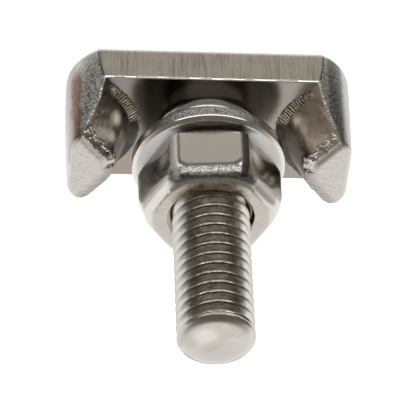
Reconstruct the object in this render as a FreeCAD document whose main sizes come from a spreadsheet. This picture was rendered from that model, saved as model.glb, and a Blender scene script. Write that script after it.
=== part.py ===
# Battery terminal T-bolt, size M8: a wedge-legged head with its stud, a flat washer and a hex nut.
#
# Frame: millimetres, +Z up. The head stands on its flat back at z = 0, the stud points along +Z
# on the Z axis, and the head's long direction is X. The thread is left plain: the stud has the
# thread's outside diameter and the nut's bore is a running clearance wider.
import FreeCAD, Part
import math
import os
import Sketcher

# Driving dimensions: alias, value in millimetres or degrees, meaning.
SIZES = [
    ("head_length", 29.3, "overall length of the head along X"),
    ("head_width", 15.0, "width of the head across its two side faces"),
    ("web_thickness", 4.3, "thickness of the flat web between back and inner face"),
    ("leg_height", 5.9, "height of the legs above the web's inner face"),
    ("corner_length", 3.2, "length at each end where the side face gives way to the rounded corner"),
    ("corner_radius", 6.0, "plan radius of the head's four corners"),
    ("fold_radius", 1.2, "plan radius where a side face folds over into the corner"),
    ("floor_gap", 14.0, "clear width between the legs at the web, on the centre line"),
    ("floor_radius", 8.0, "plan radius of the bulge of a leg's inner wall at the web"),
    ("floor_angle", 42.0, "plan angle at which the inner wall runs out to the side face at the web"),
    ("mouth_gap", 19.6, "clear width between the legs at their ends, on the centre line"),
    ("mouth_radius", 3.5, "plan radius of the bulge of a leg's inner wall at its end"),
    ("mouth_angle", 36.0, "plan angle at which the inner wall runs out at the leg's end"),
    ("flank_start", 2.6, "height above the back at which the legs' flanks start to lean in"),
    ("flank_angle", 30.0, "plan angle between a flank and the side face at the leg's end"),
    ("flank_inset", 1.37, "how far a flank stands in at the leg's end from the corner below it"),
    ("leg_end_inset", 0.2, "how far a leg's end stands in from the head's end"),
    ("leg_end_radius", 2.6, "plan radius of the outer corners of a leg's end"),
    ("back_round", 1.1, "edge radius round the head's back"),
    ("leg_end_edge", 0.4, "width and height of the edge breaks round the ends of the legs"),
    ("shoulder_diameter", 9.2, "diameter of the plain shoulder under the washer"),
    ("shoulder_height", 3.8, "height of the shoulder above the web"),
    ("stud_diameter", 7.9, "outside diameter of the thread"),
    ("stud_length", 28.3, "length of the stud from the web's inner face to its end"),
    ("stud_end_width", 0.6, "width of the break round the stud's end"),
    ("stud_end_drop", 0.3, "height of the break round the stud's end"),
    ("washer_diameter", 15.8, "outside diameter of the washer"),
    ("washer_clearance", 0.25, "radial clearance between the stud and the washer's hole"),
    ("washer_thickness", 1.6, "thickness of the washer"),
    ("washer_top_round", 0.7, "edge radius of the washer's rolled upper edge"),
    ("washer_edge", 0.15, "edge break at the washer's lower edge and its hole"),
    ("seat_gap", 0.04, "running gap below the washer and below the nut"),
    ("nut_flats", 13.0, "width of the nut across its flats"),
    ("nut_height", 6.8, "height of the nut"),
    ("nut_corner_round", 0.8, "edge radius of the nut's six upright corners"),
    ("nut_crown_height", 1.4, "height of the leaning crown at the top of the nut's flats"),
    ("nut_crown_lean", 14.0, "lean of the crown from upright"),
    ("nut_face_margin", 0.4, "how far the round face left by the corner chamfers stands in"),
    ("nut_chamfer_angle", 30.0, "slope of the nut's corner chamfers"),
    ("nut_sink_reach", 0.5, "how far the countersinks of the nut's bore reach past the stud"),
    ("thread_clearance", 0.08, "radial clearance between the stud and the nut's bore"),
    ("nut_turned", 4.3, "angle by which the nut stands turned on the stud"),
]

# How far a cut reaches past the metal that it takes away.
OVERCUT = 1.0

doc = FreeCAD.newDocument("battery_terminal_t_bolt")
sheet = doc.addObject("Spreadsheet::Sheet", "Sizes")
for row, (alias, value, meaning) in enumerate(SIZES, start=1):
    sheet.set("A%d" % row, meaning)
    sheet.set("B%d" % row, str(value))
    sheet.setAlias("B%d" % row, alias)
doc.recompute()

# Heights and places that several pieces share, as expressions on the sheet.
LEG_END = "(Sizes.web_thickness + Sizes.leg_height)"
SHOULDER_TOP = "(Sizes.web_thickness + Sizes.shoulder_height)"
STUD_END = "(Sizes.web_thickness + Sizes.stud_length)"
WASHER_BOTTOM = SHOULDER_TOP + " + Sizes.seat_gap"
NUT_BOTTOM = WASHER_BOTTOM + " + Sizes.washer_thickness + Sizes.seat_gap"
CORNER_X = "(Sizes.head_length / 2 - Sizes.corner_radius)"
CORNER_Y = ("(Sizes.head_width / 2 - sqrt(Sizes.corner_radius ^ 2"
            " - (Sizes.corner_radius - Sizes.corner_length) ^ 2))")
WASHER_HOLE = "(Sizes.stud_diameter + 2 * Sizes.washer_clearance)"
NUT_REACH = "(Sizes.nut_flats / 2 / cos(30) + %g)" % OVERCUT


def value_of(expression):
    """What an expression on the sheet comes to."""
    return float(sheet.evalExpression(expression))


def origin_plane(body, role):
    """One of a body's own origin planes, by its role."""
    for feature in body.Origin.OriginFeatures:
        if feature.Role == role:
            return feature
    raise ValueError(role)


def new_body(name):
    """A body whose label names its file."""
    body = doc.addObject("PartDesign::Body", name)
    body.Label = name
    return body


def new_sketch(body, name, role="XY_Plane", height=None):
    """A sketch on one of the body's planes, lifted along the plane's normal by an expression."""
    sketch = body.newObject("Sketcher::SketchObject", name)
    sketch.AttachmentSupport = [(origin_plane(body, role), "")]
    sketch.MapMode = "FlatFace"
    if height:
        sketch.setExpression("AttachmentOffset.Base.z", height)
    doc.recompute()
    return sketch


def dimension(sketch, kind, where, expression):
    """Add a driving constraint and tie it to the sheet."""
    index = sketch.addConstraint(Sketcher.Constraint(kind, *where, value_of(expression)))
    sketch.setExpression("Constraints[%d]" % index, expression)


def arc_edge(start, end, radius, side):
    """An arc between two points, with its centre on the left (1) or right (-1) of the way drawn."""
    chord = end - start
    left = FreeCAD.Vector(-chord.y, chord.x, 0) / chord.Length
    rise = math.sqrt(radius ** 2 - (chord.Length / 2) ** 2)
    centre = (start + end) / 2 + left * rise * side
    return Part.Arc(start, centre - left * radius * side, end)


def draw_outline(sketch, corners, arcs=None):
    """Draw a closed outline and tie its corners and radii to the sheet.

    A corner is a pair of expressions, or an earlier corner's number and the word upright or
    level for the axis that mirrors it. arcs gives, by the number of the corner that an edge
    leaves, the edge's radius and the side on which its centre lies.
    """
    arcs = arcs or {}
    points = []
    for first, second in corners:
        if isinstance(first, int):
            mirrored = FreeCAD.Vector(points[first])
            if second == "upright":
                mirrored.x = -mirrored.x
            else:
                mirrored.y = -mirrored.y
            points.append(mirrored)
        else:
            points.append(FreeCAD.Vector(value_of(first), value_of(second), 0))
    base = sketch.GeometryCount
    starts = []
    ends = []
    for number, start in enumerate(points):
        end = points[(number + 1) % len(points)]
        edge = base + number
        clockwise = False
        if number in arcs:
            radius, side = arcs[number]
            sketch.addGeometry(arc_edge(start, end, value_of(radius), side), False)
            clockwise = side < 0
        else:
            sketch.addGeometry(Part.LineSegment(start, end), False)
        # The sketch keeps every arc counter-clockwise, so a clockwise one swaps its ends.
        starts.append((edge, 2 if clockwise else 1))
        ends.append((edge, 1 if clockwise else 2))
    for number, start in enumerate(starts):
        sketch.addConstraint(Sketcher.Constraint("Coincident", *ends[number - 1], *start))
    for start, (first, second) in zip(starts, corners):
        if isinstance(first, int):
            axis = -2 if second == "upright" else -1
            sketch.addConstraint(Sketcher.Constraint("Symmetric", *starts[first], *start, axis))
        else:
            dimension(sketch, "DistanceX", (-1, 1) + start, first)
            dimension(sketch, "DistanceY", (-1, 1) + start, second)
    for number, (radius, _) in arcs.items():
        dimension(sketch, "Radius", (base + number,), radius)
    doc.recompute()


def draw_hexagon(sketch, flats):
    """A regular hexagon on a construction circle, with two of its sides level."""
    radius = value_of(flats) / 2 / math.cos(math.radians(30))
    points = []
    for number in range(6):
        angle = math.radians(60 * number)
        points.append(FreeCAD.Vector(radius * math.cos(angle), radius * math.sin(angle), 0))
    for number in range(6):
        sketch.addGeometry(Part.LineSegment(points[number], points[(number + 1) % 6]), False)
    sketch.addGeometry(Part.Circle(FreeCAD.Vector(), FreeCAD.Vector(0, 0, 1), radius), True)
    sketch.addConstraint(Sketcher.Constraint("Coincident", 6, 3, -1, 1))
    for number in range(6):
        sketch.addConstraint(Sketcher.Constraint("Coincident", number, 2, (number + 1) % 6, 1))
        sketch.addConstraint(Sketcher.Constraint("PointOnObject", number, 1, 6))
    for number in range(1, 6):
        sketch.addConstraint(Sketcher.Constraint("Equal", 0, number))
    sketch.addConstraint(Sketcher.Constraint("PointOnObject", 0, 1, -1))
    dimension(sketch, "Diameter", (6,), flats + " / cos(30)")
    doc.recompute()


def raise_pad(body, sketch, name, length, lean=None):
    """Raise a sketch along its normal, with an optional lean of its walls."""
    feature = body.newObject("PartDesign::Pad", name)
    feature.Profile = sketch
    feature.setExpression("Length", length)
    if lean:
        feature.setExpression("TaperAngle", lean)
    doc.recompute()
    return feature


def check_cut(feature, before):
    """Stop if a cut has taken nothing away."""
    if feature.Shape.isNull() or feature.Shape.Volume > before - 0.01:
        raise RuntimeError(feature.Label + " cuts nothing")


def turn_add(body, sketch, name):
    """Turn a sketch on the XZ plane once round the Z axis into metal."""
    feature = body.newObject("PartDesign::Revolution", name)
    feature.Profile = sketch
    feature.ReferenceAxis = (sketch, ["V_Axis"])
    feature.Angle = 360
    doc.recompute()
    return feature


def turn_cut(body, sketch, name):
    """Turn a sketch on the XZ plane once round the Z axis and cut it away."""
    before = body.Shape.Volume
    feature = body.newObject("PartDesign::Groove", name)
    feature.Profile = sketch
    feature.ReferenceAxis = (sketch, ["V_Axis"])
    feature.Angle = 360
    doc.recompute()
    check_cut(feature, before)
    return feature


def round_edges(body, name, radius, wanted):
    """Round the edges of the body's last feature for which wanted(edge) is true."""
    base = body.Tip
    edges = []
    for number, edge in enumerate(base.Shape.Edges, start=1):
        if wanted(edge):
            edges.append("Edge%d" % number)
    if not edges:
        raise RuntimeError(name + " finds no edge")
    feature = body.newObject("PartDesign::Fillet", name)
    feature.Base = (base, edges)
    feature.setExpression("Radius", radius)
    doc.recompute()
    return feature


def is_level_at(edge, height):
    """True for an edge that lies in the level plane at this height."""
    box = edge.BoundBox
    return abs(box.ZMin - height) < 1e-4 and abs(box.ZMax - height) < 1e-4


def draw_plan(sketch, end, split, side, radii):
    """Outer plan of the head at one height.

    end is where the end wall stops, split where the corner's arc gives way to the fold or
    flank and side where that runs into the side face. radii are those of the corner and of
    the fold; a flank has none and is straight.
    """
    corners = [end, split, side, (2, "upright"), (1, "upright"), (0, "upright"),
               (5, "level"), (4, "level"), (3, "level"), (2, "level"), (1, "level"), (0, "level")]
    arcs = {}
    for corner_edge, fold_edge in ((0, 1), (4, 3), (6, 7), (10, 9)):
        arcs[corner_edge] = (radii[0], 1)
        if radii[1]:
            arcs[fold_edge] = (radii[1], 1)
    draw_outline(sketch, corners, arcs)


def draw_head(sketch):
    """Plan of the head below the flanks: each side face folds over into the corner's arc."""
    fold = "Sizes.fold_radius"
    reach = "(Sizes.corner_radius - %s)" % fold
    fold_y = "(Sizes.head_width / 2 - %s)" % fold
    fold_x = "(%s + sqrt(%s ^ 2 - (%s - %s) ^ 2))" % (CORNER_X, reach, fold_y, CORNER_Y)
    split = []
    for fold_place, corner_place in ((fold_x, CORNER_X), (fold_y, CORNER_Y)):
        split.append("%s + (%s - %s) * Sizes.corner_radius / %s"
                     % (corner_place, fold_place, corner_place, reach))
    draw_plan(sketch, ("Sizes.head_length / 2", CORNER_Y), split,
              (fold_x, "Sizes.head_width / 2"), ("Sizes.corner_radius", fold))


def draw_leg_end(sketch, inset):
    """Plan of the legs' ends: straight flanks that round into a narrower end wall, all set in."""
    angle = "Sizes.flank_angle"
    side_y = "Sizes.head_width / 2"
    radius = "(Sizes.leg_end_radius - %s)" % inset
    wall_x = "(Sizes.head_length / 2 - Sizes.leg_end_inset - %s)" % inset
    reach = ("((Sizes.head_length / 2 - Sizes.corner_length) * sin(%s) + %s * cos(%s)"
             " - Sizes.flank_inset - %s)" % (angle, side_y, angle, inset))
    arc_x = "(%s - %s)" % (wall_x, radius)
    arc_y = "((%s - %s - %s * sin(%s)) / cos(%s))" % (reach, radius, arc_x, angle, angle)
    split = ("%s + %s * sin(%s)" % (arc_x, radius, angle),
             "%s + %s * cos(%s)" % (arc_y, radius, angle))
    side = ("(%s - %s * cos(%s)) / sin(%s)" % (reach, side_y, angle, angle), side_y)
    draw_plan(sketch, (wall_x, arc_y), split, side, (radius, None))


def draw_gap(sketch, place, inset="0"):
    """Space between the legs at the floor or the mouth: two bulging walls that run out.

    inset widens it on both sides into the legs.
    """
    angle = "Sizes.%s_angle" % place
    radius = "(Sizes.%s_radius - %s)" % (place, inset)
    bulge_x = "(Sizes.%s_gap / 2 + %s + %s * (1 - cos(%s)))" % (place, inset, radius, angle)
    bulge_y = "(%s * sin(%s))" % (radius, angle)
    out_y = "(Sizes.head_width / 2 + %g)" % OVERCUT
    corners = [
        (bulge_x, bulge_y),
        ("%s + (%s - %s) * tan(%s)" % (bulge_x, out_y, bulge_y, angle), out_y),
        (1, "upright"),
        (0, "upright"),
        (3, "level"),
        (2, "level"),
        (1, "level"),
        (0, "level"),
    ]
    draw_outline(sketch, corners, {3: (radius, -1), 7: (radius, -1)})


def build_t_bolt():
    """Head and stud in one piece: a thick web, two wedge-shaped legs and the stud between them."""
    body = new_body("t_bolt")
    edge_start = LEG_END + " - Sizes.leg_end_edge"

    outline = new_sketch(body, "head_outline")
    draw_head(outline)
    raise_pad(body, outline, "head_block", "Sizes.flank_start")
    round_edges(body, "back_rounding", "Sizes.back_round", lambda edge: is_level_at(edge, 0.0))

    foot = new_sketch(body, "leg_foot", height="Sizes.flank_start")
    draw_head(foot)
    end = new_sketch(body, "leg_end", height=edge_start)
    draw_leg_end(end, "0")
    tip = new_sketch(body, "leg_tip", height=LEG_END)
    draw_leg_end(tip, "Sizes.leg_end_edge")
    legs = body.newObject("PartDesign::AdditiveLoft", "leg_block")
    legs.Profile = foot
    legs.Sections = [end, tip]
    legs.Ruled = True
    doc.recompute()

    floor = new_sketch(body, "gap_floor", height="Sizes.web_thickness")
    draw_gap(floor, "floor")
    mouth = new_sketch(body, "gap_mouth", height=edge_start)
    draw_gap(mouth, "mouth")
    lip = new_sketch(body, "gap_lip", height=LEG_END)
    draw_gap(lip, "mouth", "Sizes.leg_end_edge")
    before = body.Shape.Volume
    gap = body.newObject("PartDesign::SubtractiveLoft", "leg_gap")
    gap.Profile = floor
    gap.Sections = [mouth, lip]
    gap.Ruled = True
    doc.recompute()
    check_cut(gap, before)

    # The shoulder and the stud are turned from one section that starts inside the web.
    stud = "Sizes.stud_diameter / 2"
    section = new_sketch(body, "stud_section", role="XZ_Plane")
    draw_outline(section, [
        ("0", "Sizes.web_thickness / 2"),
        ("Sizes.shoulder_diameter / 2", "Sizes.web_thickness / 2"),
        ("Sizes.shoulder_diameter / 2", SHOULDER_TOP),
        (stud, SHOULDER_TOP),
        (stud, STUD_END + " - Sizes.stud_end_drop"),
        (stud + " - Sizes.stud_end_width", STUD_END),
        ("0", STUD_END),
    ])
    turn_add(body, section, "shoulder_and_stud")
    return body


def build_washer():
    """A flat washer, turned from its section, with a rolled upper edge."""
    body = new_body("washer")
    hole = WASHER_HOLE + " / 2"
    rim = "Sizes.washer_diameter / 2"
    top = "Sizes.washer_thickness"
    edge = "Sizes.washer_edge"
    roll = "Sizes.washer_top_round"
    section = new_sketch(body, "washer_section", role="XZ_Plane")
    draw_outline(section, [
        (hole, edge),
        (hole + " + " + edge, "0"),
        (rim + " - " + edge, "0"),
        (rim, edge),
        (rim, top + " - " + roll),
        (rim + " - " + roll, top),
        (hole + " + " + edge, top),
        (hole, top + " - " + edge),
    ], {4: (roll, 1)})
    turn_add(body, section, "washer_ring")
    body.setExpression("Placement.Base.z", WASHER_BOTTOM)
    return body


def build_nut():
    """A hex nut with rounded corners, a leaning crown, chamfered ends and a countersunk bore."""
    body = new_body("hex_nut")
    plan = new_sketch(body, "nut_plan")
    draw_hexagon(plan, "Sizes.nut_flats")
    raise_pad(body, plan, "nut_flats", "Sizes.nut_height - Sizes.nut_crown_height")
    crown_plan = new_sketch(body, "crown_plan",
                            height="Sizes.nut_height - Sizes.nut_crown_height")
    draw_hexagon(crown_plan, "Sizes.nut_flats")
    raise_pad(body, crown_plan, "nut_crown", "Sizes.nut_crown_height", "-Sizes.nut_crown_lean")

    round_edges(body, "corner_rounding", "Sizes.nut_corner_round",
                lambda edge: edge.BoundBox.ZLength > 1e-3)

    face = "(Sizes.nut_flats / 2 - Sizes.nut_face_margin)"
    drop = "((%s - %s) * tan(Sizes.nut_chamfer_angle))" % (NUT_REACH, face)
    chamfers = new_sketch(body, "chamfer_section", role="XZ_Plane")
    draw_outline(chamfers, [
        (face, "0"),
        (NUT_REACH, "0"),
        (NUT_REACH, drop),
    ])
    draw_outline(chamfers, [
        (face, "Sizes.nut_height"),
        (NUT_REACH, "Sizes.nut_height - " + drop),
        (NUT_REACH, "Sizes.nut_height"),
    ])
    turn_cut(body, chamfers, "nut_chamfers")

    bore = "(Sizes.stud_diameter / 2 + Sizes.thread_clearance)"
    sink = "(Sizes.stud_diameter / 2 + Sizes.nut_sink_reach)"
    depth = "((%s - %s) * tan(Sizes.nut_chamfer_angle))" % (sink, bore)
    hole = new_sketch(body, "bore_section", role="XZ_Plane")
    draw_outline(hole, [
        ("0", "0"),
        (sink, "0"),
        (bore, depth),
        (bore, "Sizes.nut_height - " + depth),
        (sink, "Sizes.nut_height"),
        ("0", "Sizes.nut_height"),
    ])
    turn_cut(body, hole, "nut_bore")
    body.setExpression("Placement.Base.z", NUT_BOTTOM)
    body.setExpression("Placement.Rotation.Angle", "Sizes.nut_turned")
    return body


bodies = [build_t_bolt(), build_washer(), build_nut()]
doc.recompute()

for item in doc.Objects:
    if "Invalid" in item.State or "Error" in item.State:
        raise RuntimeError(item.Label + " has failed: " + ", ".join(item.State))
for body in bodies:
    if body.Shape.isNull() or not body.Shape.isValid() or len(body.Shape.Solids) != 1:
        raise RuntimeError(body.Label + " is not one valid solid")

os.makedirs("parts", exist_ok=True)
for body in bodies:
    body.Shape.exportStep(os.path.join("parts", body.Label + ".step"))
    box = body.Shape.BoundBox
    print("%-8s volume %8.1f  x %6.2f %6.2f  y %6.2f %6.2f  z %6.2f %6.2f"
          % (body.Label, body.Shape.Volume, box.XMin, box.XMax, box.YMin, box.YMax,
             box.ZMin, box.ZMax))
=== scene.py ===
# Battery terminal T-bolt: detailed surfaces, materials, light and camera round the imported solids.
import math

import bpy
import numpy as np
from mathutils import Matrix, Vector


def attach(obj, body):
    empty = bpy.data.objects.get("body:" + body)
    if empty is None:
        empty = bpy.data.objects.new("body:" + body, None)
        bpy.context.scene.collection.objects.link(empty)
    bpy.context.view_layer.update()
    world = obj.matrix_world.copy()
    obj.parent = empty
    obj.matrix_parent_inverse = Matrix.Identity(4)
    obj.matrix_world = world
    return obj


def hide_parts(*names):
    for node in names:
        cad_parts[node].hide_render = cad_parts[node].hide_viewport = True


MM = 0.001

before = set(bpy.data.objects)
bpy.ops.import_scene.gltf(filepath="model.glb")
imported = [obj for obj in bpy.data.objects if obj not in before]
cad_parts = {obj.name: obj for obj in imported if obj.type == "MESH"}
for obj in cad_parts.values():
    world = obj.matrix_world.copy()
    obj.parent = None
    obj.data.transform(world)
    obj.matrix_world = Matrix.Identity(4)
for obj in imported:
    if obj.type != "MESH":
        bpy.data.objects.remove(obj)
scene = bpy.context.scene
scene.view_settings.view_transform = "Standard"


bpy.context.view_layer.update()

# Sizes in millimetres and angles in degrees. The main sizes are those of the solids.
HEAD_LENGTH = 29.3
HEAD_WIDTH = 15.0
WEB_TOP = 4.3
LEG_END = 10.2
BACK_ROUND = 0.8
LEDGE_WIDTH = 0.9
LEDGE_HEIGHT = 0.34
LEDGE_REACH = 6.6
LEDGE_FADE = 1.2
RIDGE_PITCH = 0.34
BURR_HEIGHT = 0.28
BURR_LEAN = 14.0
FLANK_START = 2.6
FLANK_EASE = 2.4
END_LEAN = 0.2
SIDE_ROUND = 0.08
SHOULDER_TOP = 8.1
SHOULDER_RADIUS = 4.6
SHOULDER_FOOT = 4.35
SHOULDER_FLARE = 5.6
SHOULDER_FILLET = 1.2
STUD_RADIUS = 3.95
STUD_END = 32.6
END_WIDTH = 1.0
PITCH = 1.25
WASHER_BOTTOM = 8.14
WASHER_THICKNESS = 1.6
WASHER_RADIUS = 7.9
WASHER_HOLE = 4.2
NUT_BOTTOM = 9.78
NUT_HEIGHT = 6.8
NUT_FLATS = 13.0
NUT_TURNED = 4.3
NUT_FACE = 6.1
NUT_REACH = 7.6
NUT_TOP_ROUND = (0.40, 0.95)
NUT_CROWN_START = 5.3
NUT_CROWN_LEAN = 14.0
NUT_FOOT_ROUND = (0.45, 0.7)
NUT_EDGE_ROUND = 0.65
NUT_CROWN_ROUND = 1.5
NUT_CHAMFER = 30.0
BORE_RADIUS = 4.03
COUNTERSINK_RADIUS = 4.45

# Sizes that differ with height, at the web and at the legs' ends: the radius of the outline's
# corners, the reach of its flanks, half the gap between the legs, the radius of the bulge on
# their inner walls and the angle of the walls beside it, in degrees.
CORNER_RADIUS = (6.0, 2.6)
FLANK_REACH = (12.22, 10.85)
HALF_GAP = (7.0, 9.8)
BULGE_RADIUS = (8.0, 3.5)
WALL_ANGLE = (42.0, 36.0)
WALL_TOP = LEG_END - 0.4

# How many burrs, teeth and chips stand in a millimetre of the edges that they break.
BURR_STEPS = 0.9
TOOTH_STEPS = 2.2
CHIP_STEPS = 2.4

# The legs' edges: the cut where flank and inner wall meet, the bevel on the near side, which ends
# at NEAR_SIDE, and the round of the legs' ends. Legs and shoulder start at INSIDE_WEB.
EDGE_CUT = 0.27
EDGE_SCALE = 0.905
BEVEL_DEPTH = 0.52
NEAR_SIDE = -0.2
END_ROUND = 0.45
INSIDE_WEB = 1.0


# Distance fields. Each is negative inside the metal, in millimetres.

def smooth_max(a, b, width):
    """The larger of two fields, rounded where they differ by less than width.

    The rounding adds the square of what is left of width, over four times width.
    """
    gap = np.maximum(width - np.abs(a - b), 0.0)
    return np.maximum(a, b) + gap * gap / (4.0 * width)


def smooth_min(a, b, width):
    """The smaller of two fields, rounded where they differ by less than width."""
    return -smooth_max(-a, -b, width)


def blend(start, end, share):
    """A value that goes evenly from start to end."""
    return start + (end - start) * np.clip(share, 0.0, 1.0)


def rounded_meeting(a, b, depth_a, depth_b):
    """Two fields that meet in a quarter of an ellipse, depth_a under one and depth_b under the other."""
    across = np.maximum(a / depth_a + 1, 0.0)
    along = np.maximum(b / depth_b + 1, 0.0)
    meeting = (np.hypot(across, along) - 1) * min(depth_a, depth_b)
    return np.where((a > -depth_a) & (b > -depth_b), meeting, np.maximum(a, b))


def random_steps(place, seed):
    """An even random share for each whole number that a place falls in."""
    return np.modf(np.abs(np.sin(np.floor(place) * 12.9898 + seed * 78.233)) * 43758.5453)[0]


def saw(place, seed):
    """A saw-toothed share whose teeth have random heights."""
    return np.modf(place + 100)[0] * (0.4 + 0.6 * random_steps(place, seed))


def head_outline(x, y, z):
    """Plan of the head at each height: side face, flank, corner arc and end wall.

    The flank's line stands 30 degrees off the side face. The corner arc touches that line and
    the end wall, so a point between their two normals is measured from the arc's centre, and
    any other point from the nearer line.
    """
    share = smooth_max(z - FLANK_START, 0.0, FLANK_EASE) / (LEG_END - FLANK_START)
    wall = blend(HEAD_LENGTH / 2, HEAD_LENGTH / 2 - END_LEAN, share)
    radius = blend(*CORNER_RADIUS, share)
    reach = blend(*FLANK_REACH, share)
    sine, cosine = 0.5, math.sqrt(0.75)
    centre_x = wall - radius
    centre_y = (reach - radius - centre_x * sine) / cosine
    across_x = x - centre_x
    across_y = y - centre_y
    lines = np.maximum(x - wall, x * sine + y * cosine - reach)
    arc = np.hypot(across_x, across_y) - radius
    in_arc = (across_y > 0) & (across_y * sine - across_x * cosine < 0)
    corner = np.where(in_arc, arc, lines)
    return smooth_max(corner, y - HEAD_WIDTH / 2, SIDE_ROUND)


def leg_wall(x, y, z):
    """Inner walls of the legs: a bulge in the middle that runs out to the sides in a line.

    Its foot has a shallow ledge that the shearing left, widest in the middle.
    """
    share = (z - WEB_TOP) / (WALL_TOP - WEB_TOP)
    rise = np.clip((z - WEB_TOP) / LEDGE_HEIGHT, 0.0, 1.0)
    ledge = LEDGE_WIDTH * rise * np.clip((LEDGE_REACH - y) / LEDGE_FADE, 0.0, 1.0)
    gap = blend(HALF_GAP[0], HALF_GAP[1] - LEDGE_WIDTH, share) + ledge
    radius = blend(*BULGE_RADIUS, share)
    angle = np.radians(blend(*WALL_ANGLE, share))
    across = x - gap - radius
    bulge = radius - np.hypot(across, y)
    line = across * np.cos(angle) - y * np.sin(angle) + radius
    past_bulge = across * np.sin(angle) + y * np.cos(angle) > 0
    return -np.where(past_bulge, line, bulge)


def web_field(x, side_y, z, outline):
    """The web, whose long edges end in a thin leaning burr of uneven height."""
    lean = math.radians(BURR_LEAN)
    burr = BURR_HEIGHT * (0.7 + 0.5 * random_steps(x * BURR_STEPS, seed=3))
    bevel = ((side_y - HEAD_WIDTH / 2) + (z - WEB_TOP + burr) * math.tan(lean)) * math.cos(lean)
    return smooth_max(np.maximum(outline, bevel), z - WEB_TOP, 0.06)


def leg_field(y, side_y, z, outline, wall):
    """The legs, from inside the web up to their flat ends.

    The edge where flank and inner wall meet is broken by small teeth. The inner edge round the
    end is bevelled and chipped on the near side and well rounded on the far side.
    """
    higher = np.clip((z - 5.0) / 4.0, 0.0, 1.0)
    teeth = 0.022 + 0.02 * higher + 0.035 * saw(z * TOOTH_STEPS, seed=5)
    edge = (outline + EDGE_CUT * wall) * EDGE_SCALE + teeth
    far_side = np.clip(y / 1.5 + 0.2, 0.0, 1.0)
    far_round = 0.1 + 1.1 * np.clip((z - 6.0) / 4.0, 0.0, 1.0) * far_side
    leg = smooth_max(np.maximum(outline, edge), wall, far_round)
    end = z - LEG_END
    along = side_y * CHIP_STEPS
    chips = 0.30 + 0.28 * random_steps(along, seed=7)
    tilt = 0.5 + 0.3 * (random_steps(along, seed=11) - 0.5)
    chipped = wall * np.cos(tilt) + end * np.sin(tilt) + chips
    bevelled = (wall + end) * math.sqrt(0.5) + BEVEL_DEPTH
    worn = np.maximum(leg, np.maximum(chipped, bevelled))
    leg = smooth_max(np.where(y < NEAR_SIDE, worn, leg), end, END_ROUND)
    return np.maximum(leg, INSIDE_WEB - z)


def head_field(x, y, z):
    """The head: web and legs inside one outline, a rounded back and the plain shoulder."""
    side_x = np.abs(x)
    side_y = np.abs(y)
    outline = head_outline(side_x, side_y, z)
    wall = leg_wall(side_x, side_y, z)
    head = np.minimum(web_field(x, side_y, z, outline), leg_field(y, side_y, z, outline, wall))
    head = smooth_max(head, -z, BACK_ROUND)
    round_wall = np.hypot(x, y) - blend(SHOULDER_FOOT, SHOULDER_RADIUS, z - SHOULDER_FLARE)
    shoulder = np.maximum(round_wall, np.maximum(z - SHOULDER_TOP, INSIDE_WEB - z))
    return smooth_min(head, shoulder, SHOULDER_FILLET)


def nut_field(x, y, z):
    """The nut: six flats with rounded corners, a well rounded top edge, cut corners and a bore."""
    ring = np.hypot(x, y)
    flats = [np.abs(x * math.cos(angle) + y * math.sin(angle)) - NUT_FLATS / 2
             for angle in np.radians((30, 90, 150))]
    prism, rounder = (smooth_max(smooth_max(flats[0], flats[1], width), flats[2], width)
                      for width in (NUT_EDGE_ROUND, NUT_CROWN_ROUND))
    lean = math.radians(NUT_CROWN_LEAN)
    crown = rounder * math.cos(lean) + (z - NUT_CROWN_START) * math.sin(lean)
    body = rounded_meeting(smooth_max(prism, crown, 0.12), z - NUT_HEIGHT, *NUT_TOP_ROUND)
    body = np.maximum(body, rounded_meeting(prism, -z, *NUT_FOOT_ROUND))
    chamfer = math.radians(NUT_CHAMFER)
    for height in (z - NUT_HEIGHT, -z):
        cone = (ring - NUT_FACE) * math.sin(chamfer) + height * math.cos(chamfer)
        body = smooth_max(body, cone, 0.35)
        sink = (ring - COUNTERSINK_RADIUS) * math.cos(chamfer) - height * math.sin(chamfer)
        body = smooth_max(body, -sink, 0.1)
    return smooth_max(body, BORE_RADIUS - ring, 0.06)


# The skin over a field: how often its points are drawn onto the surface, the least square of the
# gradient that a step is divided by, and a length that stands in for nothing.
SKIN_STEPS = 8
LEAST_SQUARE = 0.05
TINY = 1e-9


def field_normals(field, points, step=0.01):
    """Gradient of a field at each point, by central differences."""
    gradient = np.empty_like(points)
    for axis in range(3):
        ahead = points.copy()
        behind = points.copy()
        ahead[:, axis] += step
        behind[:, axis] -= step
        gradient[:, axis] = (field(*ahead.T) - field(*behind.T)) / (2 * step)
    return gradient


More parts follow.
